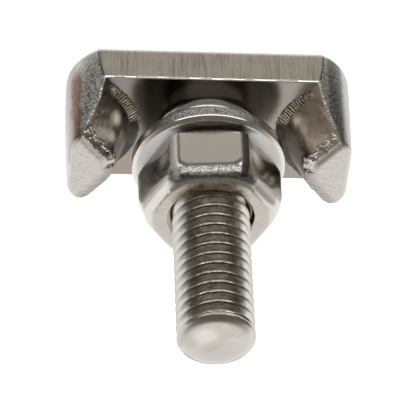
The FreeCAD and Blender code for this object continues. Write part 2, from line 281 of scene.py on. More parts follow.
def skin_field(name, field, low, high, cell):
    """A mesh over the surface of a field.

    One vertex stands in each cell of an even grid that the surface passes through, and is
    drawn onto the surface along the field's gradient. Each grid edge that the surface crosses
    gives the four-sided face between the four cells round it.
    """
    axes = [np.arange(lo - cell * 1.5, hi + cell * 2.5, cell) for lo, hi in zip(low, high)]
    grid = np.meshgrid(*axes, indexing="ij")
    inside = field(*grid) < 0
    count = sum(inside[i:i - 1 or None, j:j - 1 or None, k:k - 1 or None].astype(np.int8)
                for i in (0, 1) for j in (0, 1) for k in (0, 1))
    crossed = (count > 0) & (count < 8)
    index = np.full(crossed.shape, -1, np.int64)
    index[crossed] = np.arange(int(crossed.sum()))
    cells = np.argwhere(crossed)
    points = np.stack([axes[a][cells[:, a]] for a in range(3)], axis=1) + cell / 2
    for _ in range(SKIN_STEPS):
        gradient = field_normals(field, points)
        square = np.maximum((gradient ** 2).sum(axis=1), LEAST_SQUARE)
        move = -gradient * (field(*points.T) / square)[:, None]
        length = np.linalg.norm(move, axis=1)
        points += move * np.minimum(1.0, cell / np.maximum(length, TINY))[:, None]
    faces = []
    for axis in range(3):
        first, second = [a for a in range(3) if a != axis]
        here = np.moveaxis(inside, (axis, first, second), (0, 1, 2))
        cell_index = np.moveaxis(index, (axis, first, second), (0, 1, 2))
        change = here[:-1, 1:-1, 1:-1] != here[1:, 1:-1, 1:-1]
        starts_inside = here[:-1, 1:-1, 1:-1]
        quad = np.stack([cell_index[:, :-1, :-1], cell_index[:, 1:, :-1],
                         cell_index[:, 1:, 1:], cell_index[:, :-1, 1:]], axis=-1)
        turned = starts_inside if axis != 1 else ~starts_inside
        faces.append(quad[change & turned])
        faces.append(quad[change & ~turned][:, ::-1])
    faces = np.concatenate(faces)
    normals = field_normals(field, points)
    normals /= np.maximum(np.linalg.norm(normals, axis=1), TINY)[:, None]
    return make_mesh(name, points, faces, normals)


def make_mesh(name, points, faces, normals=None):
    """A smooth-shaded object from points in millimetres and four-sided faces."""
    mesh = bpy.data.meshes.new(name)
    mesh.vertices.add(len(points))
    mesh.vertices.foreach_set("co", (points * MM).astype(np.float32).ravel())
    mesh.loops.add(faces.size)
    mesh.loops.foreach_set("vertex_index", faces.astype(np.int32).ravel())
    mesh.polygons.add(len(faces))
    mesh.polygons.foreach_set("loop_start", np.arange(0, faces.size, 4, dtype=np.int32))
    mesh.update(calc_edges=True)
    mesh.polygons.foreach_set("use_smooth", np.ones(len(faces), bool))
    if normals is not None:
        mesh.normals_split_custom_set_from_vertices(normals.astype(np.float32))
    thing = bpy.data.objects.new(name, mesh)
    scene.collection.objects.link(thing)
    return thing


def add_share(thing, name, values):
    """A number for each vertex, which the materials read by its name."""
    attribute = thing.data.attributes.new(name, "FLOAT", "POINT")
    attribute.data.foreach_set("value", np.asarray(values, np.float32))


def places_of(thing):
    """The vertices of an object in millimetres, as three rows."""
    places = np.empty(len(thing.data.vertices) * 3, np.float32)
    thing.data.vertices.foreach_get("co", places)
    return places.reshape(-1, 3).T / MM


def grid_faces(rows, columns):
    """Faces of a sheet of rows by columns whose last column joins its first."""
    row, column = np.meshgrid(np.arange(rows - 1), np.arange(columns), indexing="ij")
    beside = (column + 1) % columns
    return np.stack([row * columns + column, row * columns + beside,
                     (row + 1) * columns + beside, (row + 1) * columns + column],
                    axis=-1).reshape(-1, 4)


def spun(name, section, segments=192):
    """A ring turned round the Z axis from (radius, height) points in order."""
    section = np.asarray(section, float)
    angle = np.linspace(0, 2 * math.pi, segments, endpoint=False)
    points = np.stack([section[:, :1] * np.cos(angle), section[:, :1] * np.sin(angle),
                       np.repeat(section[:, 1:], segments, axis=1)], axis=-1)
    return make_mesh(name, points.reshape(-1, 3), grid_faces(len(section), segments))


def rounded_section(corners, radii, steps=6):
    """A closed section whose corners are rounded by arcs, as (radius, height) points."""
    corners = np.asarray(corners, float)
    points = []
    for number, (corner, radius) in enumerate(zip(corners, radii)):
        back = corners[number - 1] - corner
        ahead = corners[(number + 1) % len(corners)] - corner
        back /= np.linalg.norm(back)
        ahead /= np.linalg.norm(ahead)
        half = math.acos(np.clip(back @ ahead, -1, 1)) / 2
        middle = back + ahead
        middle /= np.linalg.norm(middle)
        centre = corner + middle * radius / math.sin(half)
        start = corner + back * radius / math.tan(half) - centre
        end = corner + ahead * radius / math.tan(half) - centre
        for share in np.linspace(0, 1, steps):
            spoke = start * (1 - share) + end * share
            points.append(centre + spoke / np.linalg.norm(spoke) * radius)
    points.append(points[0])
    return points


# The rolled thread: its section over one pitch, as (share of the pitch, depth below the crest).
THREAD_SECTION = (
    (-0.050, 0.050), (-0.028, 0.014), (-0.012, 0.0), (0.0, 0.0), (0.070, 0.022), (0.095, 0.07),
    (0.15, 0.20), (0.22, 0.38), (0.32, 0.58), (0.38, 0.67), (0.44, 0.71), (0.52, 0.72),
    (0.60, 0.70), (0.67, 0.62), (0.78, 0.38), (0.90, 0.12),
)
# Height of a crest above the +X axis, which sets the near side's crests where they are seen.
THREAD_PHASE = 17.0425
THREAD_START = SHOULDER_TOP - 0.6
THREAD_FADE = (31.3, 32.1)
THREAD_STEPS = 96


def thread_sheet(name, bottom, top, crest):
    """A right-hand thread as one sheet wound round the Z axis, fading out towards its end.

    Each row of points is one step of the winding and each column one point of the section, so
    crest and root run along the sheet.
    """
    first_turn = math.floor((bottom - THREAD_PHASE) / PITCH) - 2
    turns = math.ceil((top - bottom) / PITCH) + 4
    angle = np.arange(turns * THREAD_STEPS + 1) * (2 * math.pi / THREAD_STEPS)
    section = np.array(THREAD_SECTION + (THREAD_SECTION[0],))
    share = section[:, 0]
    share[-1] += 1
    height = THREAD_PHASE + PITCH * (first_turn + angle[:, None] / (2 * math.pi) + share[None, :])
    faded = 1 - np.clip((height - THREAD_FADE[0]) / (THREAD_FADE[1] - THREAD_FADE[0]), 0.0, 1.0)
    radius = crest - section[:, 1] * faded * faded * (3 - 2 * faded)
    height = np.clip(height, bottom, top)
    points = np.stack([radius * np.cos(angle)[:, None], radius * np.sin(angle)[:, None], height],
                      axis=-1)
    rows, columns = height.shape
    row, column = np.meshgrid(np.arange(rows - 1), np.arange(columns - 1), indexing="ij")
    faces = np.stack([row * columns + column, (row + 1) * columns + column,
                      (row + 1) * columns + column + 1, row * columns + column + 1], axis=-1)
    sheet = make_mesh(name, points.reshape(-1, 3), faces.reshape(-1, 4))
    add_share(sheet, "depth", (crest - np.broadcast_to(radius, height.shape)).ravel())
    add_share(sheet, "share", np.broadcast_to(share, height.shape).ravel())
    return sheet


def build_head(cell):
    """The head with its shoulder."""
    half_length, half_width = HEAD_LENGTH / 2, HEAD_WIDTH / 2
    return skin_field("head_surface", head_field, (-half_length, -half_width, 0.0),
                      (half_length, half_width, LEG_END), cell)


def build_nut(cell):
    """The nut, turned and lifted to its place on the washer."""
    made = skin_field("nut_surface", nut_field, (-NUT_REACH, -NUT_REACH, 0.0),
                      (NUT_REACH, NUT_REACH, NUT_HEIGHT), cell)
    made.data.transform(Matrix.Translation((0, 0, NUT_BOTTOM * MM))
                        @ Matrix.Rotation(math.radians(NUT_TURNED), 4, "Z"))
    return made


def build_washer():
    """The washer: a section with a worn upper rim, turned round the stud."""
    top = WASHER_BOTTOM + WASHER_THICKNESS
    rim = WASHER_RADIUS
    rounded_corners = (
        ((WASHER_HOLE, WASHER_BOTTOM), 0.15), ((rim, WASHER_BOTTOM), 0.5),
        ((rim, top - 0.32), 0.15), ((rim - 0.045, top - 0.15), 0.08),
        ((rim - 0.45, top), 0.12), ((WASHER_HOLE, top), 0.12),
    )
    return spun("washer_surface", rounded_section(*zip(*rounded_corners)))


def build_stud_end():
    """The stud's end: slightly hollow, with a quarter of an ellipse down to the thread."""
    turn = np.radians(np.linspace(0, 90, 14))
    section = [(0.001, STUD_END - 0.06), (1.2, STUD_END - 0.055), (2.2, STUD_END - 0.02)]
    section += list(zip(STUD_RADIUS - END_WIDTH * (1 - np.sin(turn)),
                        STUD_END - (STUD_END - THREAD_FADE[1]) * (1 - np.cos(turn))))
    return spun("stud_end", section[::-1])


cell = 0.15
head = build_head(cell)
nut = build_nut(cell)
washer = build_washer()
stud = thread_sheet("stud_thread", THREAD_START, THREAD_FADE[1], STUD_RADIUS)
stud_end = build_stud_end()

for piece, body, slot in ((head, "bolt", "bolt_steel"), (stud, "bolt", "bolt_steel"),
                          (stud_end, "bolt", "bolt_steel"), (washer, "washer", "washer_steel"),
                          (nut, "nut", "nut_steel")):
    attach(piece, body)
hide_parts("t_bolt")
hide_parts("washer")
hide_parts("hex_nut")


class Wiring:
    """Adds nodes to a node tree and joins them, so that a material reads as a few formulas."""

    def __init__(self, owner):
        """An empty node tree for a material or a world."""
        owner.use_nodes = True
        self.tree = owner.node_tree
        self.tree.nodes.clear()

    def node(self, kind, inputs=None, **settings):
        """A node with its settings, its inputs set to values or joined to other outputs."""
        made = self.tree.nodes.new(kind)
        for key, value in settings.items():
            setattr(made, key, value)
        for key, value in (inputs or {}).items():
            self.feed(made.inputs[key], value)
        return made

    def feed(self, socket, value):
        """An input set to a value or joined to another node's output."""
        if isinstance(value, bpy.types.NodeSocket):
            self.tree.links.new(value, socket)
        else:
            socket.default_value = value

    def math(self, operation, *values):
        """One operation on numbers or outputs."""
        made = self.node("ShaderNodeMath", operation=operation)
        for socket, value in zip(made.inputs, values):
            self.feed(socket, value)
        return made.outputs[0]

    def ramp(self, value, start, end, low=0.0, high=1.0):
        """A smooth step from low to high as value goes from start to end."""
        return self.node("ShaderNodeMapRange", {
            "Value": value, "From Min": start, "From Max": end, "To Min": low, "To Max": high,
        }, interpolation_type="SMOOTHSTEP").outputs["Result"]

    def mix(self, factor, first, second, blend_type="MIX"):
        """Two colours mixed by a factor."""
        made = self.node("ShaderNodeMix", data_type="RGBA", blend_type=blend_type)
        for socket, value in zip((made.inputs[0], made.inputs[6], made.inputs[7]),
                                 (factor, first, second)):
            self.feed(socket, value)
        return made.outputs[2]

    def output(self, shader, kind="ShaderNodeOutputMaterial"):
        """The shader joined to the surface of a material or a world."""
        self.tree.links.new(shader, self.node(kind).inputs["Surface"])


class Metal(Wiring):
    """A metal surface whose colour, roughness and height are formulas in millimetres."""

    def __init__(self, name, color, roughness):
        """A new material, with the place of each point on the surface at hand."""
        self.material = bpy.data.materials.new(name)
        super().__init__(self.material)
        where = self.node("ShaderNodeTexCoord").outputs["Object"]
        self.place = self.node("ShaderNodeVectorMath", {0: where, "Scale": 1 / MM},
                               operation="SCALE").outputs[0]
        split = self.node("ShaderNodeSeparateXYZ", {"Vector": self.place}).outputs
        self.x, self.y, self.z = split[0], split[1], split[2]
        self.side_x = self.math("ABSOLUTE", self.x)
        self.side_y = self.math("ABSOLUTE", self.y)
        self.ring = self.math("SQRT", self.math(
            "ADD", self.math("MULTIPLY", self.x, self.x), self.math("MULTIPLY", self.y, self.y)))
        self.color = (*color, 1)
        self.roughness = roughness
        self.metallic = 1.0
        self.height = None

    def noise(self, scale, detail=2.0, stretch=(1, 1, 1), roughness=0.5):
        """Noise with so many features a millimetre, drawn out along an axis by its stretch."""
        place = self.node("ShaderNodeVectorMath", {0: self.place, 1: stretch},
                          operation="MULTIPLY").outputs[0]
        return self.node("ShaderNodeTexNoise", {
            "Vector": place, "Scale": scale, "Detail": detail, "Roughness": roughness,
        }).outputs["Fac"]

    def share(self, name):
        """A number that the vertices hold under a name."""
        return self.node("ShaderNodeAttribute", attribute_name=name).outputs["Fac"]

    def within(self, value, low, high, soft):
        """One between low and high, falling to nothing over soft."""
        return self.math("MULTIPLY", self.ramp(value, low - soft, low),
                         self.ramp(value, high + soft, high))

    def both(self, *shares):
        """One where all the shares are one: their product."""
        product = shares[0]
        for share in shares[1:]:
            product = self.math("MULTIPLY", product, share)
        return product

    def tint(self, factor, color):
        """The colour goes to another where the factor is one."""
        color = color if isinstance(color, bpy.types.NodeSocket) else (*color, 1)
        self.color = self.mix(factor, self.color, color)

    def shade(self, factor, depth):
        """The colour is multiplied by depth where the factor is one."""
        self.color = self.mix(factor, self.color, (depth, depth, depth, 1), "MULTIPLY")

    def polish(self, factor, roughness):
        """The roughness goes to another where the factor is one."""
        keep = self.math("SUBTRACT", 1.0, factor)
        self.roughness = self.math("MULTIPLY_ADD", self.roughness, keep,
                                   self.math("MULTIPLY", factor, roughness))

    def dull(self, factor):
        """The surface scatters light like a chalky spot where the factor is one."""
        self.metallic = self.math("SUBTRACT", 1.0, factor)

    def spots(self, places):
        """One inside soft round spots, each given by its middle, its size and its strength."""
        inside = 0.0
        for across, deep, up, size, strength in places:
            steps = [self.math("POWER", self.math("SUBTRACT", value, middle), 2.0)
                     for value, middle in ((self.x, across), (self.y, deep), (self.z, up))]
            far = self.math("SQRT", self.math("ADD", self.math("ADD", *steps[:2]), steps[2]))
            near = self.ramp(far, size, 0.0)
            inside = self.math("MAXIMUM", inside, self.both(near, near, strength))
        return inside

    def raise_by(self, factor, height):
        """The surface stands up by height millimetres where the factor is one."""
        step = self.math("MULTIPLY", factor, height)
        self.height = step if self.height is None else self.math("ADD", self.height, step)

    def finish(self):
        """The material, with its colour, metalness, roughness and height joined up."""
        inputs = {"Base Color": self.color, "Metallic": self.metallic, "Roughness": self.roughness}
        if self.height is not None:
            inputs["Normal"] = self.node("ShaderNodeBump", {
                "Height": self.height, "Strength": 1.0, "Distance": MM}).outputs["Normal"]
        shader = self.node("ShaderNodeBsdfPrincipled", inputs)
        self.output(shader.outputs[0])
        return self.material


# Colours of the finishes and of painted light and shade, as red, green and blue.
PALE_STEEL = (0.66, 0.63, 0.59)
FORGED_SKIN = (0.66, 0.65, 0.64)
BROWN_STAIN = (0.20, 0.125, 0.07)
BRUSHED_SIDE = (0.57, 0.525, 0.46)
# Painted highlights on the bare burr and the shoulder, and three tints of painted shade on the web.
BURR_PAINTED_HIGHLIGHT = (0.93, 0.91, 0.87)
WEB_PAINTED_SHADE = (0.31, 0.29, 0.265)
FAR_WEB_PAINTED_SHADE = (0.40, 0.35, 0.31)
END_WEB_PAINTED_SHADE = (0.40, 0.37, 0.34)
SHOULDER_PAINTED_HIGHLIGHT = (0.88, 0.86, 0.83)
SHEARED_GREY = (0.52, 0.50, 0.48)
SHEARED_BROWN = (0.68, 0.60, 0.50)
SHEARED_TAN = (0.94, 0.81, 0.67)
TOOTHED_LEDGE = (0.95, 0.86, 0.66)
# A painted glint on the walls, and bare broken metal brightened as a painted glint.
WALL_PAINTED_GLINT = (0.98, 0.92, 0.78)
FRESH_BREAK_PAINTED_GLINT = (0.98, 0.96, 0.92)
FLAT_END = (0.66, 0.635, 0.60)
THREAD_SIDE = (0.67, 0.65, 0.62)
# Painted reflection and shade on the front flanks, and painted shade and glints on the front crests.
FRONT_FLANK_PAINTED_REFLECTION = (0.74, 0.67, 0.58)
FRONT_FLANK_PAINTED_SHADE = (0.45, 0.42, 0.375)
CREST_PAINTED_SHADE = (0.42, 0.40, 0.37)
CREST_PAINTED_GLINT = (1.0, 0.99, 0.97)
STUD_FACE = (0.59, 0.56, 0.52)
# A painted highlight on the stud's end.
STUD_FACE_PAINTED_HIGHLIGHT = (0.78, 0.765, 0.74)
WASHER_STEEL = (0.74, 0.715, 0.69)
WASHER_RIM_STEEL = (0.56, 0.555, 0.55)
# Painted light on the washer's top, and painted shade in front of the nut and underneath.
WASHER_TOP_PAINTED_LIGHT = (0.88, 0.87, 0.86)
WASHER_PAINTED_SHADE = (0.32, 0.30, 0.28)
WASHER_UNDERSIDE_PAINTED_SHADE = (0.3, 0.28, 0.25)
NUT_STEEL = (0.71, 0.68, 0.64)
NUT_NEAR_FLAT = (0.78, 0.745, 0.68)
# A painted highlight and painted shade on the nut's top edge, and painted reflections on its side flats.
NUT_CROWN_PAINTED_HIGHLIGHT = (0.76, 0.76, 0.75)
NUT_CROWN_PAINTED_SHADE = (0.40, 0.40, 0.39)
NUT_FOOT_PAINTED_REFLECTION = (0.95, 0.93, 0.90)
NUT_PAINTED_REFLECTION = (0.88, 0.79, 0.63)
NUT_CORNER = (0.86, 0.85, 0.84)
NUT_DARK_CORNER = (0.13, 0.125, 0.12)
NUT_BORE_STEEL = (0.66, 0.58, 0.49)
NUT_TOP_STEEL = (0.56, 0.54, 0.505)
# A painted reflection of the stud on the nut's top.
NUT_TOP_PAINTED_REFLECTION = (0.95, 0.86, 0.72)

# Painted glints on the legs' inner walls and painted reflections on the nut's side flats. Each has its
# place across, deep and up, its size and its strength.
WALL_GLINT_SPOTS = (
    (9.5, -3.4, 6.2, 1.7, 1.0), (9.95, -2.6, 8.1, 1.3, 0.7), (9.8, -5.9, 4.65, 0.6, 1.0),
    (-10.2, -6.1, 5.0, 0.7, 0.8), (-8.95, -2.9, 5.5, 1.5, 0.9), (-9.6, -3.0, 6.8, 1.4, 0.35),
)
NUT_REFLECTION_SPOTS = ((5.0, -4.6, 12.7, 2.2, 0.45), (-4.3, -5.2, 12.7, 2.4, 0.6))


def forge_corners(metal, wall):
    """Forged skin round the corners, with pits that thin out towards the end walls."""
    forged = metal.both(metal.math("SUBTRACT", 1.0, wall), metal.ramp(metal.side_y, 7.44, 7.40),
                        metal.ramp(metal.z, 10.1, 9.9), metal.ramp(metal.side_x, 10.5, 10.9))
    pits = metal.noise(5.4, 2.0, roughness=0.6)
    crowded = metal.both(metal.ramp(metal.side_x, 14.2, 12.8, 0.2, 1.0),
                         metal.ramp(metal.z, 0.8, 2.2, 0.15, 1.0))
    metal.tint(forged, FORGED_SKIN)
    metal.polish(forged, 0.36)
    metal.shade(metal.both(forged, metal.ramp(pits, 0.56, 0.38), crowded), 0.25)
    metal.raise_by(metal.both(forged, crowded, pits), 0.04)
    # One end wall is duller on its near half, and the other end's near corner is darker.
    near_half = metal.both(metal.ramp(metal.x, 13.6, 13.9), metal.ramp(metal.y, 0.0, -1.5))
    metal.shade(near_half, 0.72)
    dark_corner = metal.both(forged, metal.within(metal.x, -13.3, -12.2, 0.4),
                             metal.ramp(metal.y, -2.5, -4.5))
    metal.shade(dark_corner, 0.5)
    # A brown stain runs up the duller end's near corner.
    wander = metal.math("MULTIPLY_ADD", metal.noise(0.8, 3.0), 0.7, metal.x)
    stain = metal.both(metal.within(wander, 13.85, 14.3, 0.45), metal.ramp(metal.y, 0.0, -1.0),
                       metal.ramp(metal.z, 1.0, 3.0), metal.ramp(metal.z, LEG_END, 9.8))
    mottled = metal.ramp(metal.noise(3.5, 3.0, roughness=0.65), 0.3, 0.6, 0.75)
    metal.tint(metal.both(stain, mottled), BROWN_STAIN)


def brush_sides(metal):
    """Brushed long sides, with lines along the stud's axis and a dark line round them."""
    brushed = metal.both(metal.ramp(metal.side_y, 7.43, 7.46), metal.ramp(metal.z, 4.1, 4.0),
                         metal.ramp(metal.z, 0.52, 0.6))
    lines = metal.noise(7.0, 4.0, (1, 0.1, 0.03), 0.8)
    metal.tint(brushed, BRUSHED_SIDE)
    smudge = metal.noise(0.5, 2.0)
    dark_lines = metal.both(brushed, metal.ramp(lines, 0.56, 0.36),
                            metal.ramp(smudge, 0.3, 0.6, 0.4))
    metal.shade(dark_lines, 0.55)
    metal.polish(brushed, 0.34)
    metal.raise_by(metal.both(brushed, lines), 0.03)
    border = metal.both(metal.within(metal.side_y, 7.40, 7.44, 0.03), metal.ramp(metal.z, 4.0, 3.9),
                        metal.ramp(metal.z, 0.5, 0.7))
    metal.shade(border, 0.3)


def darken_web(metal):
    """The web's top in painted shade between the legs, with its burr and the pale shoulder brightened as
    painted highlights.
    """
    # The bare burr, brightened as a painted highlight.
    burr = metal.both(metal.ramp(metal.z, 4.02, 4.08), metal.ramp(metal.side_y, 7.3, 7.38),
                      metal.ramp(metal.z, 4.5, 4.4))
    metal.tint(burr, BURR_PAINTED_HIGHLIGHT)
    metal.polish(burr, 0.14)
    # Painted shade on the web between the legs, lighter towards the far side and one end and deepest
    # beside one leg.
    web = metal.both(metal.within(metal.z, 4.2, 4.36, 0.05), metal.ramp(metal.side_y, 7.4, 7.3),
                     metal.share("inside"), metal.math("SUBTRACT", 1.0, metal.share("ledge")))
    metal.tint(web, WEB_PAINTED_SHADE)
    metal.tint(metal.both(web, metal.ramp(metal.y, 2.5, 4.0)), FAR_WEB_PAINTED_SHADE)
    metal.tint(metal.both(web, metal.ramp(metal.x, -5.0, -6.0)), END_WEB_PAINTED_SHADE)
    darkest = metal.both(web, metal.within(metal.x, 3.2, 6.2, 1.2), metal.ramp(metal.y, 2.0, 0.0))
    metal.shade(darkest, 0.35)
    metal.polish(web, 0.2)
    # The pale shoulder, brightened as a painted highlight for its crescent.
    shoulder = metal.both(metal.ramp(metal.ring, 5.2, 4.9), metal.ramp(metal.z, 4.5, 4.7))
    metal.tint(shoulder, SHOULDER_PAINTED_HIGHLIGHT)


def wear_and_shade_walls(metal, wall):
    """The legs' inner walls: dull, brownish and uneven, with painted shade on their far halves and low
    down, painted glints, and a toothed ledge at their foot.
    """
    uneven = metal.noise(0.55, 2.0)
    metal.polish(wall, 0.3)
    metal.tint(wall, metal.mix(metal.ramp(uneven, 0.35, 0.65), (*SHEARED_GREY, 1),
                               (*SHEARED_BROWN, 1)))
    tan_wall = metal.both(wall, metal.ramp(metal.x, 0.0, -1.0))
    brown_wall = metal.both(wall, metal.ramp(metal.x, 0.0, 1.0))
    metal.tint(tan_wall, SHEARED_TAN)
    metal.polish(tan_wall, 0.38)
    # Painted shade on the far halves of both walls, low on one wall and deeper on the far part of the
    # other.
    metal.shade(metal.both(wall, metal.ramp(metal.y, -3.2, -1.8)), 0.5)
    metal.shade(metal.both(brown_wall, metal.ramp(metal.z, 6.8, 5.4)), 0.55)
    metal.shade(metal.both(tan_wall, metal.ramp(metal.y, -2.8, -1.4)), 0.4)
    cloudy = metal.noise(2.0, 4.0, (1, 1, 0.5), 0.65)
    metal.shade(metal.both(wall, metal.ramp(cloudy, 0.55, 0.35)), 0.75)
    metal.raise_by(metal.both(wall, uneven), 0.14)
    ledge = metal.share("ledge")
    shaken = metal.math("MULTIPLY_ADD", metal.noise(1.1, 2.0), 0.5, metal.share("along"))
    teeth = metal.math("SINE", metal.math("MULTIPLY", shaken, 2 * math.pi / RIDGE_PITCH))
    combed = metal.math("MULTIPLY", teeth, metal.ramp(metal.side_y, 5.3, 4.5, 0.25, 1.0))
    grain = metal.math("MULTIPLY_ADD", metal.noise(5.0, 2.0), 3.0, -1.5)
    ragged = metal.math("ADD", combed, grain)
    metal.tint(ledge, TOOTHED_LEDGE)
    metal.polish(ledge, 0.4)
    metal.shade(metal.both(ledge, metal.ramp(ragged, 0.4, -0.4)), 0.06)
    metal.raise_by(metal.both(ledge, ragged), 0.04)
    # Painted shade on the far part of the ledge.
    metal.shade(metal.share("far_ledge_shade"), 0.4)
    # Painted glints: pale chalky spots on the walls.
    painted_glints = metal.both(wall, metal.spots(WALL_GLINT_SPOTS),
                        metal.ramp(metal.noise(3.0, 2.0), 0.3, 0.5, 0.6))
    metal.tint(painted_glints, WALL_PAINTED_GLINT)
    metal.polish(painted_glints, 0.5)
    metal.dull(painted_glints)


def finish_edges(metal):
    """Chips and burrs of bare metal brightened as painted glints, the legs' flat ends and the scuffed
    strip beside them.
    """
    # Bare metal on the chips and the broken edge, brightened as painted glints.
    broken = metal.both(metal.share("edge"), metal.ramp(metal.noise(2.2, 2.0), 0.38, 0.55))
    shiny = metal.math("MAXIMUM", metal.share("chipped"), broken)
    metal.tint(shiny, FRESH_BREAK_PAINTED_GLINT)
    metal.polish(shiny, 0.12)
    end = metal.ramp(metal.z, 10.12, 10.18)
    metal.tint(end, FLAT_END)
    metal.polish(end, 0.22)
    metal.shade(metal.both(end, metal.ramp(metal.noise(3.0, 3.0), 0.44, 0.36)), 0.9)
    metal.raise_by(metal.both(end, metal.noise(2.0, 2.0)), 0.02)
    scuffs = metal.ramp(metal.noise(5.0, 3.0, (0.25, 1, 0.25), 0.7), 0.35, 0.6, 0.55, 1.0)
    metal.shade(metal.both(metal.share("rolled"), scuffs), 0.42)


def head_metal():
    """The head: brushed long sides, forged and pitted corners, a web in painted shade, and sheared walls
    with painted shade and glints.
    """
    metal = Metal("head_steel", PALE_STEEL, 0.2)
    wall = metal.share("wall")
    forge_corners(metal, wall)
    brush_sides(metal)
    darken_web(metal)
    wear_and_shade_walls(metal, wall)
    finish_edges(metal)
    return metal.finish()


def thread_metal():
    """The thread: a broken painted glint on each crest, a painted shadow line after it, and dull flanks
    in painted reflection and shade where they face the camera.
    """
    metal = Metal("thread_steel", PALE_STEEL, 0.16)
    depth = metal.share("depth")
    share = metal.share("share")
    front = metal.both(metal.ramp(metal.side_x, 3.1, 2.5), metal.ramp(metal.y, 0.0, -1.0))
    deep = metal.both(metal.ramp(depth, 0.04, 0.2), front)
    metal.tint(metal.ramp(front, 0.5, 0.0), THREAD_SIDE)
    # Painted reflection and shade on the flanks that face the camera: tan above, brown below.
    metal.tint(metal.both(deep, metal.ramp(share, 0.2, 0.7)), FRONT_FLANK_PAINTED_REFLECTION)
    metal.tint(metal.both(deep, metal.ramp(share, 0.6, 0.2)), FRONT_FLANK_PAINTED_SHADE)
    metal.polish(deep, 0.3)
    drawn = metal.noise(1.4, 3.0, (1, 1, 6), 0.65)
    metal.shade(metal.both(deep, metal.ramp(drawn, 0.52, 0.38)), 0.6)
    # A painted shadow line just after each crest, strongest in the middle.
    shadow_line_strength = metal.ramp(metal.side_x, 2.2, 3.7, 1.0, 0.2)
    metal.shade(metal.both(shadow_line_strength, metal.within(share, 0.085, 0.13, 0.02)), 0.3)
    blotch = metal.noise(0.9, 3.0, (1, 1, 2), 0.7)
    metal.shade(metal.both(deep, metal.ramp(blotch, 0.55, 0.4)), 0.7)
    # Painted glints broken up along the crests that face the camera, over painted shade, and painted
    # shade on the other crests.
    worn = metal.ramp(metal.noise(1.6, 3.0, (1, 1, 2), 0.7), 0.38, 0.56)
    crest = metal.within(share, -0.05, 0.07, 0.015)
    front_crest = metal.both(crest, front)
    metal.tint(front_crest, CREST_PAINTED_SHADE)
    metal.tint(metal.both(front_crest, worn), CREST_PAINTED_GLINT)
    metal.polish(front_crest, 0.1)
    metal.shade(metal.both(crest, metal.math("SUBTRACT", 1.0, front)), 0.8)
    metal.raise_by(drawn, 0.012)
    return metal.finish()


def end_metal():
    """The stud's end: pale, with faint scratches across it and a painted highlight patch."""
    metal = Metal("end_steel", STUD_FACE, 0.24)
    scratches = metal.noise(2.2, 3.0, (1, 0.25, 1), 0.7)
    metal.shade(metal.ramp(scratches, 0.45, 0.35), 0.93)
    metal.tint(metal.ramp(metal.noise(0.35, 1.0), 0.45, 0.6), FLAT_END)
    # A painted highlight patch on the end.
    from_highlight = metal.math("SQRT", metal.math("ADD", *(
        metal.math("POWER", metal.math("SUBTRACT", value, middle), 2.0)
        for value, middle in ((metal.x, 1.1), (metal.y, -0.9)))))
    metal.tint(metal.ramp(from_highlight, 1.7, 0.5, 0.0, 0.8), STUD_FACE_PAINTED_HIGHLIGHT)
    far_rim = metal.both(metal.within(metal.ring, 3.5, 3.62, 0.1), metal.ramp(metal.y, 1.5, 2.6))
    metal.shade(far_rim, 0.5)
    metal.raise_by(scratches, 0.01)
    return metal.finish()


def washer_metal():
    """The washer: a pale top made chalky at its sides as painted light, painted shade in front by the
    nut and underneath, and a pitted rim.
    """
    metal = Metal("washer_steel", WASHER_STEEL, 0.15)
    pits = metal.noise(6.0, 2.0, roughness=0.6)
    rim = metal.both(metal.ramp(metal.ring, 7.15, 7.4), metal.ramp(metal.z, 8.2, 8.4),
                     metal.ramp(metal.y, -4.5, -6.5), metal.ramp(metal.z, 9.44, 9.40))
    metal.tint(rim, WASHER_RIM_STEEL)
    metal.polish(rim, 0.42)
    metal.shade(metal.both(rim, metal.ramp(pits, 0.58, 0.38)), 0.3)
    metal.raise_by(metal.both(rim, pits), 0.04)
    # The pale top, made chalky towards its sides as painted light where the nut blocks its reflection.
    top = metal.both(metal.ramp(metal.z, 9.66, 9.73), metal.ramp(metal.ring, 7.47, 7.42))
    metal.polish(top, 0.5)
    metal.tint(top, WASHER_TOP_PAINTED_LIGHT)
    metal.dull(metal.both(top, metal.ramp(metal.side_x, 2.8, 4.2, 0.0, 0.85)))
    # Painted shade on the top in front, beside the nut.
    shade_by_nut = metal.both(metal.within(metal.ring, 6.0, 7.2, 0.1), metal.ramp(metal.y, -5.2, -6.0))
    metal.tint(metal.both(top, shade_by_nut), WASHER_PAINTED_SHADE)
    # Painted shade on the underside.
    shaded_underside = metal.both(metal.ramp(metal.z, 8.3, 8.2), metal.ramp(metal.ring, 7.5, 7.4))
    metal.tint(shaded_underside, WASHER_UNDERSIDE_PAINTED_SHADE)
    return metal.finish()


